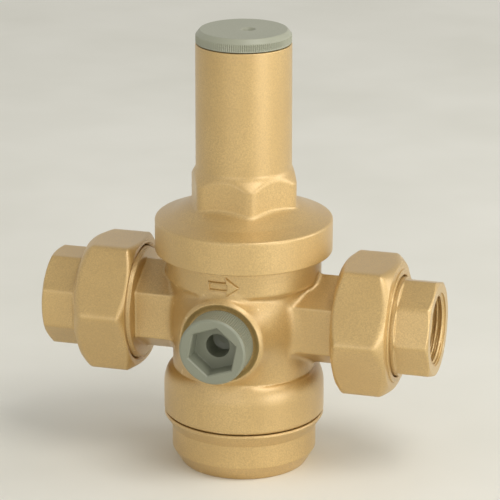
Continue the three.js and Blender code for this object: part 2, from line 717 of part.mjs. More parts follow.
// ---- Gauge port plug -----------------------------------------------------------------------
function gaugePlug() {
  const seat = -PLUG_SEAT_Y;
  const groove = -PLUG_GROOVE_Y;
  const face = -PLUG_FACE_Y;
  const limit = turned([
    [0, seat],
    [PLUG_R, seat],
    [PLUG_R, face - EDGE],
    [PLUG_R - EDGE, face],
    [0, face],
  ]);
  const head = knurled(PLUG_R, KNURL_DEPTH, PLUG_TEETH, seat, face).intersect(limit);
  const shank = turned(
    [
      [0, -PLUG_SHANK_Y],
      [PLUG_SHANK_R - EDGE, -PLUG_SHANK_Y],
      [PLUG_SHANK_R, -PLUG_SHANK_Y + EDGE],
      [PLUG_SHANK_R, groove - PLUG_GROOVE_HALF_WIDTH],
      [PLUG_SHANK_R - PLUG_GROOVE_DEPTH, groove - PLUG_GROOVE_HALF_WIDTH],
      [PLUG_SHANK_R - PLUG_GROOVE_DEPTH, groove + PLUG_GROOVE_HALF_WIDTH],
      [PLUG_SHANK_R, seat + EDGE],
      [0, seat + EDGE],
    ],
    FINE,
  );
  const plug = cut(head.add(shank), [
    prism(6, PLUG_HEX_CORNER_R, face - PLUG_HEX_DEPTH, face + 1, PLUG_HEX_TURN),
    rod(PLUG_HOLE_R, face - PLUG_HOLE_DEPTH, face, FINE),
  ]);
  return along("Y", plug);
}

// ---- Unions --------------------------------------------------------------------------------
function unionNut(side, turn) {
  const chamfered = turned([
    [0, NUT_START_X],
    [NUT_CHAMFER_R, NUT_START_X],
    [NUT_CORNER_R + EDGE, NUT_START_X + NUT_CHAMFER_LENGTH],
    [NUT_CORNER_R + EDGE, NUT_SHOULDER_X],
    [NUT_CORNER_R, NUT_SHOULDER_X],
    [NUT_CROWN_R, NUT_CROWN_X],
    [NUT_FACE_R, NUT_FACE_X],
    [NUT_RIM_R, NUT_FACE_X],
    [NUT_RIM_R, NUT_END_X],
    [0, NUT_END_X],
  ]);
  const blank = prism(6, NUT_CORNER_R, NUT_START_X, NUT_END_X, turn).intersect(chamfered);
  const nut = cut(blank, [
    rod(NUT_BORE_R, NUT_START_X - 1, NUT_LIP_X),
    rod(NUT_LIP_R, NUT_START_X, NUT_END_X + 1),
  ]);
  return along("X", nut, side);
}

function tailpiece(side, turn) {
  const collar = THREAD_END_X + 2 * GAP + GASKET_THICKNESS;
  const round = turned([
    [0, collar],
    [TAIL_COLLAR_R, collar],
    [TAIL_COLLAR_R, NUT_LIP_X - GAP],
    [TAIL_NECK_R, NUT_LIP_X - GAP],
    [TAIL_NECK_R, TAIL_FLATS_X],
    [0, TAIL_FLATS_X],
  ]);
  const ends = turned([
    [0, TAIL_FLATS_X - 1],
    [TAIL_NECK_R, TAIL_FLATS_X - 1],
    [TAIL_NECK_R, TAIL_FLATS_X],
    [TAIL_CORNER_R, TAIL_FLATS_X + TAIL_CHAMFER_LENGTH],
    [TAIL_CORNER_R + GAP, HALF_LENGTH - 2 * EDGE],
    [TAIL_FACE_R, HALF_LENGTH],
    [0, HALF_LENGTH],
  ]);
  const flats = prism(8, TAIL_CORNER_R, TAIL_FLATS_X - 1, HALF_LENGTH, turn).intersect(ends);
  const bore = turned([
    [0, collar - 1],
    [TAIL_BORE_R, collar - 1],
    [TAIL_BORE_R, HALF_LENGTH - SOCKET_DEPTH],
    [SOCKET_R, HALF_LENGTH - SOCKET_DEPTH],
    [SOCKET_R, HALF_LENGTH - SOCKET_MOUTH_DEPTH],
    [SOCKET_MOUTH_R, HALF_LENGTH - SOCKET_MOUTH_DEPTH],
    [SOCKET_MOUTH_R, HALF_LENGTH + 1],
    [0, HALF_LENGTH + 1],
  ]);
  return along("X", round.add(flats).subtract(bore), side);
}

function unionGasket(side) {
  const start = THREAD_END_X + GAP;
  return along("X", ring(GASKET_BORE_R, GASKET_R, start, start + GASKET_THICKNESS, FINE), side);
}

// ---- Assembly ------------------------------------------------------------------------------
place("body", body(), "forging");
place("bottom_cap", bottomCap(), "forging");
place(
  "bottom_cap_oring",
  torus(CAP_ORING_R, CAP_ORING_SECTION_R, (CAP_GROOVE[0] + CAP_GROOVE[1]) / 2),
  "rubber",
);
place("bonnet", bonnet(), "forging");
place("top_cap", topCap(), "plastic");
place("adjusting_screw", adjustingScrew(), "steel");
place("spring_nut", springNut(), "machined");
place("adjusting_spring", spring(), "steel");
place(
  "slip_ring",
  ring(SLIP_RING_INNER_R, DIAPHRAGM_R, PLATE_Z, RECESS_TOP_Z - GAP, FINE),
  "plastic",
);
place("diaphragm", diaphragm(), "rubber");
place("diaphragm_plate_upper", upperPlate(), "machined");
place(
  "diaphragm_plate_lower",
  ring(STEM_R + GAP, LOWER_PLATE_R, LOWER_PLATE_Z, DIAPHRAGM_Z - GAP, FINE),
  "machined",
);
place("stem", stem(), "steel");
place("stem_nut", stemNut(), "steel");
place("seat_ring", seatRing(), "steel");
place("disc_holder", discHolder(), "machined");
place("disc_seal", discSeal(), "rubber");
place("disc_nut", discNut(), "machined");
place(
  "piston_oring",
  torus(PISTON_ORING_R, PISTON_ORING_SECTION_R, (PISTON_GROOVE[0] + PISTON_GROOVE[1]) / 2),
  "rubber",
);
place("gauge_plug", gaugePlug(), "plastic");
place(
  "gauge_plug_oring",
  along("Y", torus(PLUG_ORING_R, PLUG_ORING_SECTION_R, -PLUG_GROOVE_Y)),
  "rubber",
);
for (const [end, side, nutTurn, tailTurn] of [
  ["inlet", -1, 3, 22.5], // end, side, and the turn of its nut and of its tailpiece in degrees
  ["outlet", 1, 1, 5],
]) {
  place(`union_nut_${end}`, unionNut(side, nutTurn + 90), "forging");
  place(`tailpiece_${end}`, tailpiece(side, tailTurn), "forging");
  place(`union_gasket_${end}`, unionGasket(side), "fibre");
}

export default group;
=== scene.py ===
"""Looks for a DN 20 pressure reducing valve in forged brass with union ends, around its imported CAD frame.

Lengths in this script are millimetres, and they become metres when a mesh is made. The valve's pipe axis runs
along X, its gauge port faces -Y and its adjusting axis is Z, as in the frame.
"""

import math

import bmesh
import bpy
import numpy as np
import openvdb
from mathutils import Matrix, Vector


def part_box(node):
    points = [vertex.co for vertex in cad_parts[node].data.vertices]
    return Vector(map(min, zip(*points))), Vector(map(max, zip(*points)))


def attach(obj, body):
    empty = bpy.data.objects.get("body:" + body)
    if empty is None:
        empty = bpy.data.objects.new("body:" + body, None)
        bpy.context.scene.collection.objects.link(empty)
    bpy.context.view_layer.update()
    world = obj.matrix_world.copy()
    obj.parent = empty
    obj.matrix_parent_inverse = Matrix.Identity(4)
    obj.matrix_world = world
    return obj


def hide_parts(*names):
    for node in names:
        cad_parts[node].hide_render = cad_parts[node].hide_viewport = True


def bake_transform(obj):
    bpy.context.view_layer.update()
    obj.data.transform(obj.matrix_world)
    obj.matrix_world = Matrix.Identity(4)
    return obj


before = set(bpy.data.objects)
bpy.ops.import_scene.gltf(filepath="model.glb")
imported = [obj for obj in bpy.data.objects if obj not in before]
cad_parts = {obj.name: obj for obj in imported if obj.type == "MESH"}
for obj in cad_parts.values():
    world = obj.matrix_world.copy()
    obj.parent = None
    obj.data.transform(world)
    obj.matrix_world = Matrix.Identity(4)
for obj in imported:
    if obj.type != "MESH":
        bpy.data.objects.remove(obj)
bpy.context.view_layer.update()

MM = 0.001


def box_mm(node):
    """The lowest and highest corners of a CAD node, in millimetres."""
    low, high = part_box(node)
    return np.array(low) / MM, np.array(high) / MM


# ---- Driving places, read from the frame -------------------------------------------------------
BODY_LOW, BODY_HIGH = box_mm("body")
BONNET_LOW, BONNET_HIGH = box_mm("bonnet")
NUT_LOW, NUT_HIGH = box_mm("union_nut_outlet")
TAIL_LOW, TAIL_HIGH = box_mm("tailpiece_outlet")
PLUG_LOW, PLUG_HIGH = box_mm("gauge_plug")
CAP_LOW, CAP_HIGH = box_mm("top_cap")
SPRING_LOW, SPRING_HIGH = box_mm("adjusting_spring")
DIAPHRAGM_LOW, DIAPHRAGM_HIGH = box_mm("diaphragm")

AXIS_Z = (TAIL_LOW[2] + TAIL_HIGH[2]) / 2  # pipe axis
PORT_Z = (PLUG_LOW[2] + PLUG_HIGH[2]) / 2  # gauge port axis
GAP = 0.3  # clearance between neighbouring pieces


# ---- Outlines ----------------------------------------------------------------------------------
FILLET_STEPS = 5
BRACE = 0.25  # distance from a corner to the points that keep its sides flat


def filleted(corners, closed=False):
    """Points of an outline whose corners are (radius, height) or (radius, height, fillet)."""
    places = [np.array(corner[:2], float) for corner in corners]
    count = len(corners)
    points = []
    for i, corner in enumerate(corners):
        here = places[i]
        if len(corner) < 3 or (not closed and i in (0, count - 1)):
            points.append(here)
            continue
        back, ahead = places[i - 1] - here, places[(i + 1) % count] - here
        back_length, ahead_length = np.linalg.norm(back), np.linalg.norm(ahead)
        back, ahead = back / back_length, ahead / ahead_length
        half = 0.5 * math.acos(np.clip(back @ ahead, -1, 1))
        reach = min(corner[2] / math.tan(half), 0.49 * back_length, 0.49 * ahead_length)
        middle = (back + ahead) / np.linalg.norm(back + ahead)
        centre = here + middle * reach / math.cos(half)
        start, end = here + back * reach - centre, here + ahead * reach - centre
        sweep = math.pi - 2 * half
        for step in range(FILLET_STEPS + 1):
            t = step / FILLET_STEPS
            arm = math.sin((1 - t) * sweep) * start + math.sin(t * sweep) * end
            points.append(centre + arm / math.sin(sweep))
    return points


def spaced(points, step, closed=False):
    """The same outline with points no further apart than step, and one close to each corner, so
    that shading stays flat on the straight stretches."""
    ends = points[1:] + points[:1] if closed else points[1:]
    result = []
    for a, b in zip(points, ends):
        length = np.linalg.norm(b - a)
        result.append(a)
        if length > 3 * BRACE:
            count = max(2, math.ceil((length - 2 * BRACE) / step) + 1)
            for t in np.linspace(BRACE, length - BRACE, count):
                result.append(a + (b - a) * t / length)
    if not closed:
        result.append(points[-1])
    return np.array(result)


def outline(corners, step=3.0, closed=False):
    """Radii and heights of a filleted outline, as two columns."""
    points = spaced(filleted(corners, closed), step, closed)
    return points[:, :1], points[:, 1:]


def smooth_min(a, b, width):
    """The lesser value, with a fillet where the two are within width of each other."""
    blend = np.maximum(width - np.abs(a - b), 0) / width
    return np.minimum(a, b) - blend * blend * width / 4


def smooth_max(a, b, width):
    return -smooth_min(-a, -b, width)


def ramp(value, low, high):
    """0 below low, 1 above high, and smooth between them."""
    t = np.clip((value - low) / (high - low), 0, 1)
    return t * t * (3 - 2 * t)


def turns(count):
    """Angles of equal steps round one turn, as a row."""
    return np.arange(count)[None, :] * 2 * math.pi / count


def polygon(theta, sides, turn, sharpness):
    """Radius over apothem of a regular polygon with softened corners, the first at turn degrees."""
    faces = np.radians(turn + (np.arange(sides) + 0.5) * 360 / sides)
    total = sum(np.maximum(np.cos(theta - face), 0) ** sharpness for face in faces)
    return total ** (-1 / sharpness)


def zigzag(theta, teeth):
    """0 at a groove and 1 at a tooth, round a knurled edge."""
    return np.abs(2 * ((theta * teeth / (2 * math.pi)) % 1) - 1)


# ---- Meshes ------------------------------------------------------------------------------------
AROUND = 240  # steps round a turned piece
SHARP_ANGLE = 50  # degrees; a steeper edge is shaded as sharp
WELD_DISTANCE = 1e-4
UPRIGHT = Matrix.Identity(4)
# A piece made about Z is turned onto the pipe axis or the port axis. Its +Z end goes to the outlet,
# to the inlet or to the front.
TO_OUTLET = Matrix(((0, 0, 1, 0), (0, -1, 0, 0), (1, 0, 0, AXIS_Z), (0, 0, 0, 1)))
TO_INLET = Matrix(((0, 0, -1, 0), (0, 1, 0, 0), (1, 0, 0, AXIS_Z), (0, 0, 0, 1)))
TO_FRONT = Matrix(((1, 0, 0, 0), (0, 0, -1, 0), (0, 1, 0, PORT_Z), (0, 0, 0, 1)))


def piece(name, vertices, faces, place, finish, rides_on, slot, replaced):
    """A piece of the valve from vertices in millimetres, in its own axes, and faces. It rides on one body
    when rides_on names one; when rides_on is two bodies and the points where a bend would start and end, the
    piece stays in place unattached."""
    mesh = bpy.data.meshes.new(name)
    mesh.from_pydata(vertices.tolist(), [], faces.tolist())
    work = bmesh.new()
    work.from_mesh(mesh)
    bmesh.ops.remove_doubles(work, verts=work.verts, dist=WELD_DISTANCE)
    bmesh.ops.recalc_face_normals(work, faces=work.faces)
    work.to_mesh(mesh)
    work.free()
    mesh.transform(Matrix.Scale(MM, 4) @ place)
    mesh.polygons.foreach_set("use_smooth", [True] * len(mesh.polygons))
    mesh.set_sharp_from_angle(angle=math.radians(SHARP_ANGLE))
    mesh.materials.append(finish)
    item = bpy.data.objects.new(name, mesh)
    bpy.context.scene.collection.objects.link(item)
    if isinstance(rides_on, str):
        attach(item, rides_on)
    else:
        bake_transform(item)
    if replaced:
        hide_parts(*replaced)


def spun(radii, heights, closed):
    """Vertices and faces of rings about Z. Radii and heights are one row for each ring and one
    column for each step round it."""
    count = radii.shape[1]
    theta = turns(count)
    heights = np.broadcast_to(heights, radii.shape)
    vertices = np.stack([radii * np.cos(theta), radii * np.sin(theta), heights], axis=2)
    rings = radii.shape[0]
    grid = np.arange(rings * count).reshape(rings, count)
    if closed:
        grid = np.vstack([grid, grid[:1]])
    beside = np.roll(grid, -1, axis=1)
    faces = np.stack([grid[:-1], beside[:-1], beside[1:], grid[1:]], axis=2)
    return vertices.reshape(-1, 3), faces.reshape(-1, 4)


def swept(rings):
    """Vertices and faces of a solid through rings of points, with closed ends. The shape of rings is
    steps, points in a ring, 3."""
    steps, count = rings.shape[:2]
    grid = np.arange(steps * count).reshape(steps, count)
    beside = np.roll(grid, -1, axis=1)
    sides = np.stack([grid[:-1], beside[:-1], beside[1:], grid[1:]], axis=2)
    k = np.arange(count // 2 - 1)
    first, last = (
        np.stack([ring[k], ring[k + 1], ring[count - 2 - k], ring[count - 1 - k]], axis=1)
        for ring in (grid[0], grid[-1])
    )
    return rings.reshape(-1, 3), np.vstack([sides.reshape(-1, 4), first, last])


def turned_piece(name, corners, rides_on, place=UPRIGHT, closed=True, shape=None, step=3.0):
    """A turned piece of forged brass that stands for the CAD node of this name. shape(theta, radii, heights)
    changes the radii round the axis."""
    radii, heights = outline(corners, step, closed)
    theta = turns(AROUND)
    radii = radii + 0 * theta
    if shape:
        radii = shape(theta, radii, heights)
    vertices, faces = spun(radii, heights, closed)
    piece(name + "_look", vertices, faces, place, FORGED, rides_on, "forged_brass", [name])


# ---- Solids from distance fields ---------------------------------------------------------------
FIELD_BACKGROUND = 5.0  # distance outside the grid


def polygon_distance(corners, x, y):
    """Signed distance to a closed outline in the plane, negative inside it."""
    points = np.array(corners, float)
    nearest = np.full(np.broadcast(x, y).shape, 1e9)
    sign = np.ones(nearest.shape)
    for a, b in zip(points, np.roll(points, 1, axis=0)):
        edge, dx, dy = b - a, x - a[0], y - a[1]
        t = np.clip((dx * edge[0] + dy * edge[1]) / (edge @ edge), 0, 1)
        nearest = np.minimum(nearest, (dx - edge[0] * t) ** 2 + (dy - edge[1] * t) ** 2)
        above, below, left = y >= a[1], y < b[1], edge[0] * dy > edge[1] * dx
        crossing = (above & below & left) | (~above & ~below & ~left)
        sign = np.where(crossing, -sign, sign)
    return sign * np.sqrt(nearest)


def field_mesh(distance, low, pitch):
    """Vertices and faces of the zero surface of a grid of distances."""
    grid = openvdb.FloatGrid(background=FIELD_BACKGROUND)
    grid.copyFromArray(distance.astype(np.float32))
    grid.transform = openvdb.createLinearTransform(voxelSize=pitch)
    points, quads = grid.convertToQuads()
    return points.astype(float) + np.array(low), quads.astype(int)


# ---- Materials ---------------------------------------------------------------------------------
SPAN_KEYS = ("From Min", "From Max", "To Min", "To Max")
MIX_INPUTS = (6, 7)  # the colour sockets of a mix node
MIX_OUTPUT = 2


class Paint:
    """A material's node tree, with short ways to add nodes to it."""

    def __init__(self, name):
        self.material = bpy.data.materials.new(name)
        self.material.use_nodes = True
        self.tree = self.material.node_tree
        self.shader = self.tree.nodes["Principled BSDF"]
        self.place = self.tree.nodes.new("ShaderNodeTexCoord").outputs["Object"]

    def noise(self, scale, detail, roughness=0.5):
        """Noise of so many cells in a metre."""
        node = self.tree.nodes.new("ShaderNodeTexNoise")
        node.inputs["Scale"].default_value = scale
        node.inputs["Detail"].default_value = detail
        node.inputs["Roughness"].default_value = roughness
        self.tree.links.new(self.place, node.inputs["Vector"])
        return node.outputs["Fac"]

    def span(self, value, low, high, to_low, to_high):
        """The value's stretch from low to high, spread over to_low to to_high."""
        node = self.tree.nodes.new("ShaderNodeMapRange")
        self.tree.links.new(value, node.inputs["Value"])
        for key, number in zip(SPAN_KEYS, (low, high, to_low, to_high)):
            node.inputs[key].default_value = number
        return node.outputs["Result"]

    def mix(self, share, a, b):
        """From a to b, which are colours or sockets, by share."""
        node = self.tree.nodes.new("ShaderNodeMix")
        node.data_type = "RGBA"
        self.tree.links.new(share, node.inputs["Factor"])
        for key, value in zip(MIX_INPUTS, (a, b)):
            if isinstance(value, tuple):
                node.inputs[key].default_value = (*value, 1)
            else:
                self.tree.links.new(value, node.inputs[key])
        return node.outputs[MIX_OUTPUT]

    def bump(self, height, strength, distance):
        """Adds a bump of the given depth in millimetres, on top of those before it."""
        node = self.tree.nodes.new("ShaderNodeBump")
        node.inputs["Strength"].default_value = strength
        node.inputs["Distance"].default_value = distance * MM
        self.tree.links.new(height, node.inputs["Height"])
        before = self.shader.inputs["Normal"]
        if before.is_linked:
            self.tree.links.new(before.links[0].from_socket, node.inputs["Normal"])
        self.tree.links.new(node.outputs["Normal"], before)

    def link(self, value, key):
        self.tree.links.new(value, self.shader.inputs[key])

    def set(self, key, value):
        self.shader.inputs[key].default_value = value


def srgb(red, green, blue):
    """A colour given as a screen shows it, 0 to 255, as linear numbers."""
    parts = [channel / 255 for channel in (red, green, blue)]
    return tuple(c / 12.92 if c <= 0.04045 else ((c + 0.055) / 1.055) ** 2.4 for c in parts)


def forged_brass():
    """Shot-blasted brass: a satin, slightly mottled surface with a fine grain, and a painted highlight along
    its sharp edges.
    """
    paint = Paint("forged_brass")
    clouds = paint.noise(55, 3)
    grain = paint.noise(1900, 3, 0.65)
    pits = paint.noise(700, 2)
    tone = paint.mix(paint.span(clouds, 0.3, 0.7, 0, 1), srgb(207, 172, 100), srgb(220, 187, 117))
    speckled = paint.mix(paint.span(grain, 0.35, 0.65, 0, 1), srgb(192, 157, 92), tone)
    geometry = paint.tree.nodes.new("ShaderNodeNewGeometry")
    # Sharp convex edges are painted lighter and paler: a painted highlight along them.
    edge_highlight = paint.span(geometry.outputs["Pointiness"], 0.52, 0.6, 0, 0.5)
    paint.link(paint.mix(edge_highlight, speckled, srgb(244, 220, 168)), "Base Color")
    paint.set("Metallic", 0.65)
    paint.set("Coat Weight", 1.0)
    paint.set("Coat Roughness", 0.42)
    paint.set("Coat IOR", 1.85)
    paint.link(paint.span(grain, 0.3, 0.7, 0.42, 0.6), "Roughness")
    paint.bump(pits, 0.5, 0.05)
    paint.bump(grain, 0.6, 0.035)
    return paint.material


def machined_brass():
    """Machined brass: bright, with slow changes of tone and a faint fine grain."""
    paint = Paint("machined_brass")
    clouds = paint.noise(80, 2)
    grain = paint.noise(2600, 1)
    paint.link(paint.mix(clouds, srgb(214, 178, 112), srgb(232, 200, 140)), "Base Color")
    paint.set("Metallic", 1.0)
    paint.link(paint.span(clouds, 0.3, 0.7, 0.24, 0.34), "Roughness")
    paint.bump(grain, 0.3, 0.01)
    return paint.material


def grey_plastic(name, dark, light):
    """Moulded grey-green plastic with a satin skin."""
    paint = Paint(name)
    clouds = paint.noise(60, 2)
    grain = paint.noise(2400, 2)
    paint.link(paint.mix(clouds, dark, light), "Base Color")
    paint.link(paint.span(grain, 0.3, 0.7, 0.36, 0.48), "Roughness")
    paint.bump(grain, 0.35, 0.02)
    return paint.material


def steel():
    """Bright steel with a faint fine grain."""
    paint = Paint("steel")
    clouds = paint.noise(90, 2)
    grain = paint.noise(2200, 1)
    paint.link(paint.mix(clouds, srgb(176, 178, 180), srgb(206, 207, 208)), "Base Color")
    paint.set("Metallic", 1.0)
    paint.link(paint.span(clouds, 0.3, 0.7, 0.26, 0.38), "Roughness")
    paint.bump(grain, 0.3, 0.01)
    return paint.material


def rubber():
    """Matt black moulded rubber."""
    paint = Paint("rubber")
    clouds = paint.noise(300, 2)
    paint.link(paint.mix(clouds, srgb(26, 26, 26), srgb(44, 43, 42)), "Base Color")
    paint.set("Roughness", 0.6)
    paint.bump(paint.noise(1800, 2), 0.3, 0.02)
    return paint.material


def fibre():
    """Pressed fibre sheet for the union gaskets."""
    paint = Paint("fibre")
    fleck = paint.noise(900, 4, 0.7)
    share = paint.span(fleck, 0.35, 0.65, 0, 1)
    paint.link(paint.mix(share, srgb(118, 52, 36), srgb(170, 84, 58)), "Base Color")
    paint.set("Roughness", 0.85)
    paint.bump(fleck, 0.5, 0.05)
    return paint.material


FORGED = forged_brass()
MACHINED = machined_brass()
PLASTIC = grey_plastic("grey_plastic", srgb(131, 134, 117), srgb(141, 143, 125))
# A paler copy of the grey plastic for the top cap: painted light, standing for the light that falls on the
# cap from above.
LIT_PLASTIC = grey_plastic("lit_grey_plastic", srgb(152, 154, 136), srgb(162, 163, 145))
STEEL = steel()
RUBBER = rubber()
FIBRE = fibre()

# ---- Body --------------------------------------------------------------------------------------
BARREL_R = 26
BOSS_R = 15.2
BOSS_FOOT_R = 20.5
BOSS_RECESS = 1.1  # shallow recess that the plug's head sits in
RING_R = 29.4
COLLAR_R = 28.2
BORE_R = 9.5  # waterway
BODY_PITCH = 0.38  # voxel size of the body's distance field
BODY_MARGIN = 1.5  # of the field round the body
FIELD_REACH = 62  # further from an axis than any point of the field
FIELD_STEP = 0.1  # between the distances that a turned shape is read from
STUB_CORNER_R = 17.1
STUB_END_X = 37.4  # where a stub's flats meet its round collar
UNION_R = 20.7
SPIGOT_R = 26.6
SHOULDER_Z = 29.5  # where the ring starts to close in to the barrel
SHOULDER_HEIGHT = 7.5
UPPER_CHAMBER_R = 21
UPPER_CHAMBER_Z = 68.5
THROAT_R = 9
THROAT_Z = 52
SEAT_R = 8.5
SEAT_Z = 40
LOWER_CHAMBER_R = 20
LOWER_CHAMBER_TOP_Z = 44
BASE_SOCKET_R = 22.9  # the bottom cap screws in here
BASE_SOCKET_TOP_Z = 29.3
INLET_BORE_END_X = -14.5
DROP_X = -19.5  # drop hole from the inlet bore to the chamber under the seat
DROP_Z = 49.5
DROP_R = 4.5
DROP_HALF = 7.4
PORT_BORE_R = 6.6
PORT_BORE_END = 23.5
PORT_PILOT_R = 3.5
PLUG_SEAT_R = 12.8
PLUG_SEAT_MOUTH_R = 14.4
AXIS_SIDE = -9  # radius past the axis, where a turned shape's section ends
OUTSIDE = 60  # distance past the body, where an open bore ends


def hexagon_distance(up, across, apothem, corner):
    """Signed distance to a hexagon with corners up and down, rounded by the given radius."""
    size = apothem - corner
    up, across = np.abs(up), np.abs(across)
    shift = 2 * np.minimum(0.5 * across - math.sqrt(0.75) * up, 0)
    up, across = up + shift * math.sqrt(0.75), across - shift * 0.5
    half_side = size / math.sqrt(3)
    up, across = up - np.clip(up, -half_side, half_side), across - size
    return np.hypot(up, across) * np.sign(across) - corner


def make_body():
    """The forging as one distance field: turned shapes about the three axes, joined with fillets, less the
    passages. Each turned shape reaches a little past its axis or its open end."""
    low, high = BODY_LOW - BODY_MARGIN, BODY_HIGH + BODY_MARGIN
    steps = [np.arange(a, b, BODY_PITCH) for a, b in zip(low, high)]
    x, y, z = np.meshgrid(*steps, indexing="ij", sparse=True)
    from_axis = np.arange(0, FIELD_REACH, FIELD_STEP)

    def layers(corners, radius, along):
        """Distances to a turned shape, one layer for each place along its axis."""
        table = polygon_distance(corners, from_axis[:, None], along[None, :])
        return [np.interp(radius, from_axis, column) for column in table.T]

    def about_x(corners):
        """A shape that is the same to both sides of the middle."""
        return np.stack(layers(corners, np.hypot(y, z - AXIS_Z)[0], np.abs(steps[0])), axis=0)

    def about_y(corners):
        """A shape whose heights count towards the front."""
        return np.stack(layers(corners, np.hypot(x, z - PORT_Z)[:, 0], -steps[1]), axis=1)

    def about_z(corners):
        return np.stack(layers(corners, np.hypot(x, y)[:, :, 0], steps[2]), axis=2)

    base, top = BODY_LOW[2], BODY_HIGH[2]
    end = BODY_HIGH[0]
    shoulder = [
        (BARREL_R + (RING_R - BARREL_R) * math.cos(t), SHOULDER_Z + SHOULDER_HEIGHT * math.sin(t))
        for t in np.linspace(0, math.pi / 2, 12)
    ]
    shell = about_z(
        [(AXIS_SIDE, base), (RING_R - 0.7, base), (RING_R, base + 0.7)]
        + shoulder
        + [
            (BARREL_R, 69.4),
            (BARREL_R + 0.8, 70.6),
            (COLLAR_R - 0.6, 71),
            (COLLAR_R, 71.8),
            (COLLAR_R, 80.6),
            (SPIGOT_R, 80.6),
            (SPIGOT_R, top),
            (AXIS_SIDE, top),
        ]
    )
    hexagon = hexagon_distance(z - AXIS_Z, y, STUB_CORNER_R * math.cos(math.pi / 6), 0.6)
    hexagon = np.maximum(hexagon, np.abs(x) - STUB_END_X)
    ends = about_x(
        [
            (AXIS_SIDE, STUB_END_X - 0.2),
            (UNION_R - 0.7, STUB_END_X - 0.2),
            (UNION_R - 0.5, STUB_END_X),
            (UNION_R - 0.5, STUB_END_X + 0.6),
            (UNION_R, STUB_END_X + 1.2),
            (UNION_R, end - 0.8),
            (UNION_R - 0.8, end),
            (AXIS_SIDE, end),
        ]
    )
    stubs = smooth_min(hexagon, ends, 0.8)
    boss_face = -BODY_LOW[1]
    boss = about_y(
        [
            (AXIS_SIDE, 0),
            (BOSS_FOOT_R, 0),
            (BOSS_FOOT_R, 15),
            (BOSS_R + 0.8, boss_face - 2),
            (BOSS_R + 0.5, boss_face - 1.2),
            (BOSS_R - 0.5, boss_face),
            (AXIS_SIDE, boss_face),
        ]
    )
    flare = 3 + 3.5 * ramp(-z, -71, -64)  # wide below the collar, so that the arrow stays clear
    solid = smooth_min(smooth_min(shell, stubs, 2), boss, flare)

    recess = boss_face - BOSS_RECESS
    to_axis = np.hypot(y, z - AXIS_Z)

    def bored(radius, start, stop):
        """Corners of a plain bore."""
        return [(AXIS_SIDE, start), (radius, start), (radius, stop), (AXIS_SIDE, stop)]

    base_socket = [
        (AXIS_SIDE, base - 9),
        (BASE_SOCKET_R, base - 9),
        (BASE_SOCKET_R, BASE_SOCKET_TOP_Z),
        (LOWER_CHAMBER_R, BASE_SOCKET_TOP_Z),
        (LOWER_CHAMBER_R, LOWER_CHAMBER_TOP_Z),
        (AXIS_SIDE, LOWER_CHAMBER_TOP_Z),
    ]
    plug_seat = [
        (AXIS_SIDE, recess),
        (PLUG_SEAT_R, recess),
        (PLUG_SEAT_MOUTH_R, boss_face),
        (PLUG_SEAT_MOUTH_R, OUTSIDE),
        (AXIS_SIDE, OUTSIDE),
    ]
    drop = np.hypot(x - DROP_X, y) - DROP_R
    hollows = [
        about_z(bored(UPPER_CHAMBER_R, UPPER_CHAMBER_Z, top + 9)),
        about_z(bored(THROAT_R, THROAT_Z, 70)),
        about_z(bored(SEAT_R, SEAT_Z, 53)),
        about_z(base_socket),
        np.maximum(to_axis - BORE_R, -x),  # outlet
        np.maximum(to_axis - BORE_R, x - INLET_BORE_END_X),  # inlet
        np.maximum(drop, np.abs(z - DROP_Z) - DROP_HALF),
        about_y(bored(PORT_BORE_R, PORT_BORE_END, OUTSIDE)),
        about_y(plug_seat),
        about_y(bored(PORT_PILOT_R, 0, PORT_BORE_END + 1)),
    ]
    for hollow in hollows:
        solid = np.maximum(solid, -hollow)
    vertices, faces = field_mesh(solid, low, BODY_PITCH)
    piece("body_look", vertices, faces, UPRIGHT, FORGED, "valve_body", "forged_brass", ["body"])


make_body()

# ---- Flow arrow on the collar ------------------------------------------------------------------
ARROW_Z = 75.4
ARROW_TIP = 6.6
ARROW_HEAD = 1.4  # where the head meets the shaft
ARROW_TAIL = -5.2
ARROW_HEAD_HALF = 3.9
ARROW_SHAFT_HALF = 1.9
ARROW_SLOT_HALF = 0.8
ARROW_RAISE = 0.85
ARROW_PITCH = 0.11


def make_arrow():
    """A raised arrow with a slotted shaft, which follows the collar's curve."""
    low = np.array([-6.5, -COLLAR_R - 1.2, -5])
    high = np.array([8, -COLLAR_R + 1.8, 5])
    steps = [np.arange(a, b, ARROW_PITCH) for a, b in zip(low, high)]
    x, y, z = np.meshgrid(*steps, indexing="ij", sparse=True)
    edge = [
        (ARROW_TIP, 0),
        (ARROW_HEAD, ARROW_HEAD_HALF),
        (ARROW_HEAD, ARROW_SHAFT_HALF),
        (ARROW_TAIL, ARROW_SHAFT_HALF),
        (ARROW_TAIL, -ARROW_SHAFT_HALF),
        (ARROW_HEAD, -ARROW_SHAFT_HALF),
        (ARROW_HEAD, -ARROW_HEAD_HALF),
    ]
    slot = [
        (ARROW_TAIL + 0.8, ARROW_SLOT_HALF),
        (ARROW_HEAD + 0.4, ARROW_SLOT_HALF),
        (ARROW_HEAD + 0.4, -ARROW_SLOT_HALF),
        (ARROW_TAIL + 0.8, -ARROW_SLOT_HALF),
    ]
    flat = smooth_max(polygon_distance(edge, x, z), -polygon_distance(slot, x, z), 0.3)
    rise = np.hypot(x, y) - COLLAR_R
    sloped = flat + 0.4 * rise
    solid = np.maximum(smooth_max(sloped, rise - ARROW_RAISE, 0.35), -rise - 0.5)
    vertices, faces = field_mesh(solid, low, ARROW_PITCH)
    place = Matrix.Translation((0, 0, ARROW_Z))
    piece("flow_arrow", vertices, faces, place, FORGED, "valve_body", "forged_brass", [])


make_arrow()

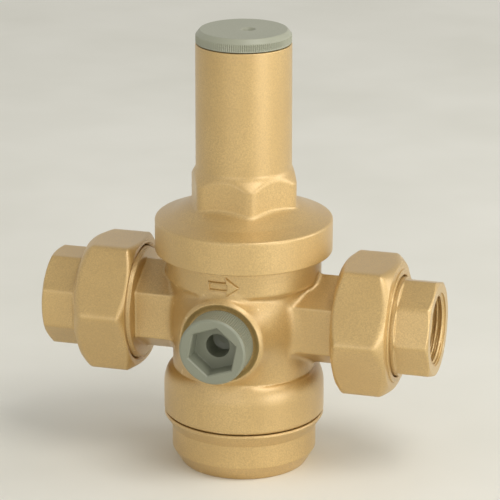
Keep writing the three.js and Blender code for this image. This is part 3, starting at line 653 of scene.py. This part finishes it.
# ---- Bottom cap --------------------------------------------------------------------------------
SEAM_Z = 19.2
FOOT_R = 26.5
FOOT_TOP_Z = 14
FOOT_BEVEL = 3.3  # radius lost at the underside
FOOT_BEVEL_HEIGHT = 5.5
BASE_THREAD_R = 22.6
BASE_GROOVE_R = 21
BASE_THREAD_TOP_Z = 29
BASE_INSIDE_R = 18.5
BASE_FLOOR_Z = 7
GUIDE_R = 8.5  # guide of the balancing piston
GUIDE_TOP_Z = 25
GUIDE_BORE_R = 5.3
GUIDE_FLOOR_Z = 9
turned_piece(
    "bottom_cap",
    [
        (0, 0),
        (FOOT_R - FOOT_BEVEL, 0, 0.5),
        (FOOT_R, FOOT_BEVEL_HEIGHT, 0.6),
        (FOOT_R, FOOT_TOP_Z, 1.2),
        (29, SEAM_Z - 1.3, 1.5),
        (RING_R, SEAM_Z - 0.8, 0.4),
        (RING_R - 0.4, SEAM_Z, 0.3),
        (BASE_THREAD_R, SEAM_Z),
        (BASE_THREAD_R, SEAM_Z + 1.1),
        (BASE_GROOVE_R, SEAM_Z + 1.1),
        (BASE_GROOVE_R, SEAM_Z + 3.5),
        (BASE_THREAD_R, SEAM_Z + 3.5),
        (BASE_THREAD_R, BASE_THREAD_TOP_Z - 0.8, 0.3),
        (BASE_THREAD_R - 0.8, BASE_THREAD_TOP_Z, 0.3),
        (BASE_INSIDE_R, BASE_THREAD_TOP_Z, 0.3),
        (BASE_INSIDE_R, BASE_FLOOR_Z, 1),
        (GUIDE_R, BASE_FLOOR_Z, 1),
        (GUIDE_R, GUIDE_TOP_Z, 0.4),
        (GUIDE_BORE_R, GUIDE_TOP_Z, 0.4),
        (GUIDE_BORE_R, GUIDE_FLOOR_Z, 0.5),
        (0, GUIDE_FLOOR_Z),
    ],
    "valve_body",
    closed=False,
)

# ---- Bonnet ------------------------------------------------------------------------------------
RIM_R = 32.2
RIM_TOP_Z = 93.1
HEX_CORNER_R = 20.9
HEX_ROUND_R = 20.2
HEX_TURN = 23  # degrees, of the front corner from -Y towards +X
HEX_TOP_Z = 112
HEX_CHAMFER = 0.68  # radius lost for each unit of height
RIM_BEND_Z = 94.0  # the rim is plainly round below this height
DOME_TOP_R = 16.5
DOME_TOP_Z = 100.6
LEVEL_STEP = 0.2
HOUSING_R = 17.35
HOUSING_TOP_R = 17.2
SPRING_BORE_R = 14.2
SCREW_HOLE_R = 4.3
WEB_UNDER_Z = 150  # the web that holds the screw
WEB_OVER_Z = 153.5
RECESS_R = 27  # recess that takes the body's spigot
RECESS_TOP_Z = 93.1
SKIRT_BORE_R = 30
KEY_WIDTH = 2.6
KEY_DEPTH = 1.6
KEY_BASE_Z = 103


def make_bonnet():
    """One turned outline, whose stretch from the rim to the housing is round, hexagonal and round again."""
    base, top = BONNET_LOW[2], BONNET_HIGH[2]
    theta = turns(AROUND)
    corners = [
        (SKIRT_BORE_R, base),
        (RIM_R, base, 0.5),
        (RIM_R, RIM_TOP_Z, 1.1),
        (26.1, 95.4, 8),
        (DOME_TOP_R, DOME_TOP_Z),
    ]
    rim = spaced(filleted(corners), 0.25)
    skirt = rim[:, 1] < RIM_BEND_Z
    near = np.arange(RIM_BEND_Z + 0.1, HEX_TOP_Z + 2, LEVEL_STEP)
    far = np.linspace(HEX_TOP_Z + 2.2, top - 1, 12)
    levels = np.concatenate([near, far])[:, None]
    dome = np.interp(levels, rim[:, 1], rim[:, 0]) - 1.9 * np.maximum(levels - DOME_TOP_Z, 0)
    flats = HEX_CORNER_R * math.cos(math.pi / 6) * polygon(theta, 6, HEX_TURN - 90, 110)
    chamfer = np.minimum(HEX_ROUND_R, HOUSING_R + (HEX_TOP_Z - levels) * HEX_CHAMFER)
    wrench = smooth_min(flats + 0 * levels, chamfer, 0.7)
    housing = np.interp(levels, [100, top], [HOUSING_R, HOUSING_TOP_R])
    outside = smooth_max(smooth_max(wrench, housing, 0.8), dome, 1.6)
    crown = outline([(HOUSING_TOP_R, top - 0.7), (HOUSING_TOP_R, top, 0.4), (SPRING_BORE_R, top, 0.4)])
    inner = outline(
        [
            (SPRING_BORE_R, top - 1),
            (SPRING_BORE_R, WEB_OVER_Z, 0.5),
            (SCREW_HOLE_R, WEB_OVER_Z, 0.3),
            (SCREW_HOLE_R, WEB_UNDER_Z, 0.3),
            (SPRING_BORE_R, WEB_UNDER_Z, 1),
            (SPRING_BORE_R, RECESS_TOP_Z + 4.4, 1),
            (20.5, RECESS_TOP_Z),
            (RECESS_R, RECESS_TOP_Z, 0.5),
            (RECESS_R, base, 0.4),
            (SKIRT_BORE_R, base),
        ],
        1.0,
    )
    key = ramp(KEY_WIDTH / 2 + 0.2 - np.abs(SPRING_BORE_R * np.sin(theta)), 0, 0.4)
    bore = (inner[1] > KEY_BASE_Z) & (inner[1] < WEB_UNDER_Z) & (inner[0] > SPRING_BORE_R - 0.1)
    keyed = inner[0] - KEY_DEPTH * key * bore
    radii = np.vstack([rim[skirt][1:, :1] + 0 * theta, outside, crown[0][:-1] + 0 * theta, keyed])
    heights = np.vstack([rim[skirt][1:, 1:], levels, crown[1][:-1], inner[1]])
    vertices, faces = spun(radii, heights, True)
    piece("bonnet_look", vertices, faces, UPRIGHT, FORGED, "valve_body", "forged_brass", ["bonnet"])


make_bonnet()

# ---- Top cap -----------------------------------------------------------------------------------
CAP_TEETH = 140
CAP_R = 17.1
CAP_RIM_Z = 157.9
CAP_SKIRT_R = 13.9
CAP_BORE_R = 12.1
KNURL_DEPTH = 0.35
KNURL_STEPS = 6  # round each tooth
VENT_X = 1.7
VENT_R = 1.3
VENT_MOUTH_R = 2.7


def make_cap():
    """A disc with ribs down its edge, which fade out at its bevel and its lower edge, and with a
    countersunk vent a little off centre."""
    low, top = CAP_LOW[2], CAP_HIGH[2]
    radii, heights = outline(
        [
            (VENT_R, top - 1.4, 0.2),
            (VENT_MOUTH_R, top, 0.3),
            (15.6, top, 0.6),
            (CAP_R, 160.7, 0.4),
            (CAP_R, CAP_RIM_Z, 0.3),
            (CAP_SKIRT_R, CAP_RIM_Z),
            (CAP_SKIRT_R, low, 0.3),
            (CAP_BORE_R, low, 0.3),
            (CAP_BORE_R, CAP_RIM_Z + 1, 0.4),
            (VENT_R, CAP_RIM_Z + 1, 0.3),
        ],
        0.5,
        True,
    )
    theta = turns(CAP_TEETH * KNURL_STEPS)
    above = ramp(heights, CAP_RIM_Z + 0.1, CAP_RIM_Z + 0.5)
    ribs = (radii > CAP_R - 0.7) * above * ramp(-heights, 1.6 - top, 2.1 - top)
    vertices, faces = spun(radii - KNURL_DEPTH * (1 - zigzag(theta, CAP_TEETH)) * ribs, heights, True)
    from_middle = np.hypot(vertices[:, 0], vertices[:, 1])
    vertices[:, 0] += VENT_X * (1 - ramp(from_middle, VENT_MOUTH_R + 0.5, 11))
    # The top cap takes the paler copy of the plastic, painted lighter for the light from above.
    piece("top_cap_look", vertices, faces, UPRIGHT, LIT_PLASTIC, "cap", "grey_plastic", ["top_cap"])


make_cap()

# ---- Gauge port plug ---------------------------------------------------------------------------
PLUG_TEETH = 96
PLUG_R = 12.2
PLUG_STEM_R = 6.3
PLUG_GROOVE_R = 5
PLUG_HEX_CORNER_R = 9.2
PLUG_HEX_TURN = 19
PLUG_HEX_DEPTH = 7.4
PLUG_HOLE_R = 4.3
PLUG_HOLE_DEPTH = 15.6


def make_plug():
    """A turned plug with a groove for its ring, a ribbed head, a hexagonal socket and a blind hole."""
    face, tip = -PLUG_LOW[1], -PLUG_HIGH[1]
    seat = -BODY_LOW[1] - BOSS_RECESS + GAP
    theta = turns(PLUG_TEETH * KNURL_STEPS)
    radii, heights = outline(
        [
            (0, tip),
            (PLUG_STEM_R - 0.6, tip, 0.3),
            (PLUG_STEM_R, tip + 0.6, 0.2),
            (PLUG_STEM_R, seat - 2.6),
            (PLUG_GROOVE_R, seat - 2.6),
            (PLUG_GROOVE_R, seat - 0.6),
            (PLUG_STEM_R, seat - 0.3),
            (PLUG_STEM_R, seat),
            (PLUG_R, seat, 0.3),
            (PLUG_R, face - 0.7, 0.4),
            (PLUG_R - 0.7, face, 0.3),
            (10.2, face),
        ],
        0.5,
    )
    above = ramp(heights, seat + 0.4, seat + 0.8)
    ribs = (radii > PLUG_R - 0.2) * above * ramp(-heights, 1.2 - face, 1.6 - face)
    head = radii - KNURL_DEPTH * (1 - zigzag(theta, PLUG_TEETH)) * ribs
    apothem = PLUG_HEX_CORNER_R * math.cos(math.pi / 6)
    floor = face - PLUG_HEX_DEPTH
    walls = outline(
        [
            (apothem + 0.9, face),
            (apothem + 0.45, face, 0.2),
            (apothem, face - 0.5, 0.3),
            (apothem, floor, 0.4),
            (5.4, floor),
        ]
    )
    socket = walls[0] * polygon(theta, 6, PLUG_HEX_TURN, 130)
    deep = face - PLUG_HOLE_DEPTH
    hole = outline([(5, floor), (PLUG_HOLE_R, floor, 0.3), (PLUG_HOLE_R, deep, 0.3), (0, deep - 1.2)])
    radii = np.vstack([head, socket, hole[0] + 0 * theta])
    vertices, faces = spun(radii, np.vstack([heights, walls[1], hole[1]]), False)
    piece("gauge_plug_look", vertices, faces, TO_FRONT, PLASTIC, "plug", "grey_plastic", ["gauge_plug"])


make_plug()

# ---- Unions ------------------------------------------------------------------------------------
NUT_CORNER_R = 26.9
NUT_TURNED_R = 27.6  # radius that the flats are cut from
NUT_BORE_R = 21.1
NUT_LIP_R = 20.6
NUT_LIP_BORE_R = 18.5
NUT_SHOULDER_X = 54.4
TAIL_CORNER_R = 18.3
TAIL_TURNED_R = 18.5
TAIL_FLATS_X = 59.9
TAIL_NECK_R = 17.9
TAIL_FLANGE_R = 19.3
TAIL_FLANGE_X = 54.1
TAIL_BORE_R = 11
SOCKET_R = 12.6
SOCKET_MOUTH_R = 13.3
SOCKET_DEPTH = 15
THREAD_MINOR_R = 12.06  # G 3/4
THREAD_MAJOR_R = 13.22
THREAD_PITCH = 1.814


def nut_shape(turn):
    """Cuts the flats of a nut into its round outside."""

    def shape(theta, radii, heights):
        flats = NUT_CORNER_R * math.cos(math.pi / 6) * polygon(theta, 6, turn, 60)
        return np.where(radii > NUT_BORE_R + 0.2, smooth_min(radii, flats, 2.2), radii)

    return shape


def make_nut(end, place, turn):
    """A union nut, bevelled at both ends, with a lip that holds its tailpiece."""
    start, stop = NUT_LOW[0], NUT_HIGH[0]
    turned_piece(
        f"union_nut_{end}",
        [
            (NUT_BORE_R + 0.9, start, 0.2),
            (NUT_TURNED_R - 4, start, 0.3),
            (NUT_TURNED_R, start + 2.4, 0.5),
            (NUT_TURNED_R, stop - 4.8, 1),
            (NUT_TURNED_R - 4.4, stop - 1, 1.4),
            (NUT_LIP_R + 0.4, stop - 0.6, 0.2),
            (NUT_LIP_R, stop - 0.6),
            (NUT_LIP_R, stop, 0.25),
            (NUT_LIP_BORE_R, stop, 0.4),
            (NUT_LIP_BORE_R, NUT_SHOULDER_X, 0.3),
            (NUT_BORE_R, NUT_SHOULDER_X, 0.3),
            (NUT_BORE_R, start + 0.9, 0.2),
        ],
        f"{end}_nut",
        place=place,
        shape=nut_shape(turn),
        step=0.3,
    )


def tail_shape(turn):
    """Cuts the flats of a tailpiece into its outside, and a thread into its mouth."""

    def shape(theta, radii, heights):
        flats = TAIL_CORNER_R * math.cos(math.pi / 8) * polygon(theta, 8, turn, 200)
        outside = (radii > 16) * ramp(heights, TAIL_FLATS_X, TAIL_FLATS_X + 0.7)
        radii = radii + (smooth_min(radii, flats, 0.8) - radii) * outside
        depth = TAIL_HIGH[0] - heights
        threaded = (radii < 14) * ramp(depth, 0.6, 1.2) * ramp(-depth, 0.2 - SOCKET_DEPTH, 1 - SOCKET_DEPTH)
        groove = ramp(zigzag(theta - heights / THREAD_PITCH * 2 * math.pi, 1), 0.08, 0.92)
        thread = THREAD_MINOR_R + (THREAD_MAJOR_R - THREAD_MINOR_R) * groove
        return radii + (thread - radii) * threaded

    return shape


def make_tail(end, place, turn):
    """A tailpiece: a flange, a round neck and an octagon with a threaded socket."""
    base, mouth = TAIL_LOW[0], TAIL_HIGH[0]
    turned_piece(
        f"tailpiece_{end}",
        [
            (TAIL_BORE_R, base, 0.3),
            (TAIL_FLANGE_R, base, 0.4),
            (TAIL_FLANGE_R, TAIL_FLANGE_X, 0.3),
            (TAIL_NECK_R, TAIL_FLANGE_X, 0.3),
            (TAIL_NECK_R, TAIL_FLATS_X, 0.1),
            (TAIL_TURNED_R, TAIL_FLATS_X + 1.3, 0.3),
            (TAIL_TURNED_R, mouth - 1, 0.5),
            (TAIL_TURNED_R - 1.9, mouth, 0.5),
            (SOCKET_MOUTH_R, mouth, 0.12),
            (SOCKET_MOUTH_R, mouth - 0.6, 0.1),
            (SOCKET_R, mouth - 0.7, 0.1),
            (SOCKET_R, mouth - SOCKET_DEPTH, 0.2),
            (TAIL_BORE_R, mouth - SOCKET_DEPTH, 0.3),
        ],
        f"{end}_tail",
        place=place,
        shape=tail_shape(turn),
        step=0.2,
    )


for end, place, nut_turn, tail_turn in (("inlet", TO_INLET, 93, 22.5), ("outlet", TO_OUTLET, 91, 5)):
    make_nut(end, place, nut_turn)
    make_tail(end, place, tail_turn)

# ---- Spring and diaphragm ----------------------------------------------------------------------
SPRING_R = 10.2
WIRE_R = 1.6
SPRING_TURNS = 6
SPRING_END = 1  # from the end of the spring to the middle of its wire
SPRING_SPLIT = 9  # height of the length that gives with the valve's stroke
SPRING_STEPS = 40  # in a turn
WIRE_STEPS = 16
DIAPHRAGM_BORE = 3.3
DIAPHRAGM_BEVEL = 0.4
DIAPHRAGM_HELD = 16.1  # the plates hold it within this radius
DIAPHRAGM_FREE = 20.2  # and the body holds it beyond this one
SECTORS = 12
SECTOR_GAP = 0.001  # radians from a sector's edge to the line between it and the next


def at_height(z):
    """A point on the adjusting axis, in metres."""
    return (0, 0, z * MM)


def make_spring():
    """The spring in two lengths of swept wire: a lower one for the stretch that gives with the valve's stroke
    and an upper one for the stretch that gives with its nut.
    """
    low, high = SPRING_LOW[2], SPRING_HIGH[2]
    split = low + SPRING_SPLIT
    rise = high - low - 2 * SPRING_END
    lean = math.atan2(rise, SPRING_TURNS * 2 * math.pi * SPRING_R)
    lower = ("valve_gear", "valve_body", at_height(low + WIRE_R), at_height(split))
    upper = ("valve_body", "nut", at_height(split), at_height(high - 2 * WIRE_R))
    share = (SPRING_SPLIT - SPRING_END) / rise
    around = turns(WIRE_STEPS)
    radial, across = WIRE_R * np.cos(around), WIRE_R * np.sin(around)
    for name, first, last, bend in (("lower", 0, share, lower), ("upper", share, 1, upper)):
        along = np.linspace(first, last, round((last - first) * SPRING_TURNS * SPRING_STEPS))[:, None]
        angle = along * SPRING_TURNS * 2 * math.pi
        x = (SPRING_R + radial) * np.cos(angle) + across * math.sin(lean) * np.sin(angle)
        y = (SPRING_R + radial) * np.sin(angle) - across * math.sin(lean) * np.cos(angle)
        z = low + SPRING_END + along * rise + across * math.cos(lean)
        rings = np.stack([x, y, np.clip(z, low, high)], axis=2)
        title = f"adjusting_spring_{name}_look"
        piece(title, *swept(rings), UPRIGHT, STEEL, bend, "steel", ["adjusting_spring"])


def make_diaphragm():
    """The diaphragm in sectors, each running from the plates at its middle to the body at its rim."""
    low, high, edge = DIAPHRAGM_LOW[2], DIAPHRAGM_HIGH[2], DIAPHRAGM_HIGH[0]
    flexing = np.linspace(DIAPHRAGM_HELD, DIAPHRAGM_FREE, 10)
    reach = np.array([DIAPHRAGM_BORE, 9, *flexing, 23, edge - DIAPHRAGM_BEVEL])
    radii = np.concatenate([reach, [edge, edge], reach[::-1]])
    bevel = [low + DIAPHRAGM_BEVEL, high - DIAPHRAGM_BEVEL]
    heights = np.concatenate([0 * reach + low, bevel, 0 * reach + high])
    half = math.pi / SECTORS - SECTOR_GAP
    for k in range(SECTORS):
        middle = k * 2 * math.pi / SECTORS
        theta = np.linspace(middle - half, middle + half, 9)[:, None]
        rings = np.stack([radii * np.cos(theta), radii * np.sin(theta), heights + 0 * theta], axis=2)
        towards = MM * np.array([math.cos(middle), math.sin(middle), 0])
        start, end = tuple(DIAPHRAGM_HELD * towards), tuple(DIAPHRAGM_FREE * towards)
        bend = ("valve_gear", "valve_body", start, end)
        piece(f"diaphragm_look_{k + 1}", *swept(rings), UPRIGHT, RUBBER, bend, "rubber", ["diaphragm"])


make_spring()
make_diaphragm()

# ---- CAD nodes that stay -----------------------------------------------------------------------
KEPT = {
    "bottom_cap_oring": RUBBER,
    "adjusting_screw": STEEL,
    "spring_nut": MACHINED,
    "slip_ring": PLASTIC,
    "diaphragm_plate_upper": MACHINED,
    "diaphragm_plate_lower": MACHINED,
    "stem": STEEL,
    "stem_nut": STEEL,
    "seat_ring": STEEL,
    "disc_holder": MACHINED,
    "disc_seal": RUBBER,
    "disc_nut": MACHINED,
    "piston_oring": RUBBER,
    "gauge_plug_oring": RUBBER,
    "union_gasket_inlet": FIBRE,
    "union_gasket_outlet": FIBRE,
}
for name, finish in KEPT.items():
    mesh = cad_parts[name].data
    mesh.materials.clear()
    mesh.materials.append(finish)

# ---- Floor, light and camera -------------------------------------------------------------------
FLOOR_SIZE = 8.0  # metres
HORIZON = 0.72  # strength of the studio's own light
ZENITH = 0.42


def make_floor():
    """A sheet of pale paper under the valve."""
    mesh = bpy.data.meshes.new("floor")
    half = FLOOR_SIZE / 2
    corners = [(-half, -half, 0), (half, -half, 0), (half, half, 0), (-half, half, 0)]
    mesh.from_pydata(corners, [], [(0, 1, 2, 3)])
    floor = bpy.data.objects.new("floor", mesh)
    bpy.context.scene.collection.objects.link(floor)
    paint = Paint("floor_paper")
    clouds = paint.span(paint.noise(9, 3), 0.35, 0.65, 0, 1)
    paint.link(paint.mix(clouds, srgb(232, 231, 222), srgb(239, 238, 230)), "Base Color")
    paint.set("Roughness", 0.9)
    mesh.materials.append(paint.material)


def aim(azimuth, elevation):
    """The direction from the valve to a viewer at these angles, in degrees."""
    a, e = math.radians(azimuth), math.radians(elevation)
    return Vector((math.sin(a) * math.cos(e), -math.cos(a) * math.cos(e), math.sin(e)))


def area_light(name, azimuth, elevation, distance, size, power, colour):
    """A soft light at these angles and this distance in metres, which faces the valve."""
    data = bpy.data.lights.new(name, "AREA")
    data.shape = "RECTANGLE"
    data.size, data.size_y = size
    data.energy = power
    data.color = colour
    light = bpy.data.objects.new(name, data)
    light.location = Vector((0, 0, 0.08)) + distance * aim(azimuth, elevation)
    light.rotation_euler = (-aim(azimuth, elevation)).to_track_quat("-Z", "Y").to_euler()
    bpy.context.scene.collection.objects.link(light)


def make_world():
    """A pale studio, brighter round the horizon than overhead."""
    world = bpy.data.worlds.new("studio")
    world.use_nodes = True
    tree = world.node_tree
    direction = tree.nodes.new("ShaderNodeTexCoord").outputs["Generated"]
    apart = tree.nodes.new("ShaderNodeSeparateXYZ")
    tree.links.new(direction, apart.inputs["Vector"])
    fade = tree.nodes.new("ShaderNodeMapRange")
    tree.links.new(apart.outputs["Z"], fade.inputs["Value"])
    for key, number in zip(SPAN_KEYS, (0.1, 0.9, HORIZON, ZENITH)):
        fade.inputs[key].default_value = number
    tree.nodes["Background"].inputs["Color"].default_value = (1.0, 0.985, 0.94, 1)
    tree.links.new(fade.outputs["Result"], tree.nodes["Background"].inputs["Strength"])
    bpy.context.scene.world = world


def make_camera():
    data = bpy.data.cameras.new("camera")
    data.sensor_width = 36
    data.lens = 189.9
    camera = bpy.data.objects.new("camera", data)
    camera.location = Vector((0, 0, AXIS_Z * MM)) + 0.9645 * aim(16.16, 19.64)
    camera.rotation_euler = (-aim(16.02, 18.32)).to_track_quat("-Z", "Y").to_euler()
    data.clip_start, data.clip_end = 0.05, 50
    bpy.context.scene.collection.objects.link(camera)
    bpy.context.scene.camera = camera


make_floor()
make_world()
area_light("key", 58, 58, 1.6, (0.7, 0.7), 9.5, (1.0, 0.98, 0.94))
area_light("right", 60, 4, 1.3, (0.6, 0.4), 4, (1.0, 0.99, 0.97))
area_light("far_right", 105, 20, 1.3, (0.6, 0.6), 4, (1.0, 0.99, 0.97))
area_light("front", -5, 4, 1.5, (1.2, 0.5), 2.4, (1.0, 0.99, 0.97))
make_camera()
bpy.context.scene.view_settings.view_transform = "Standard"
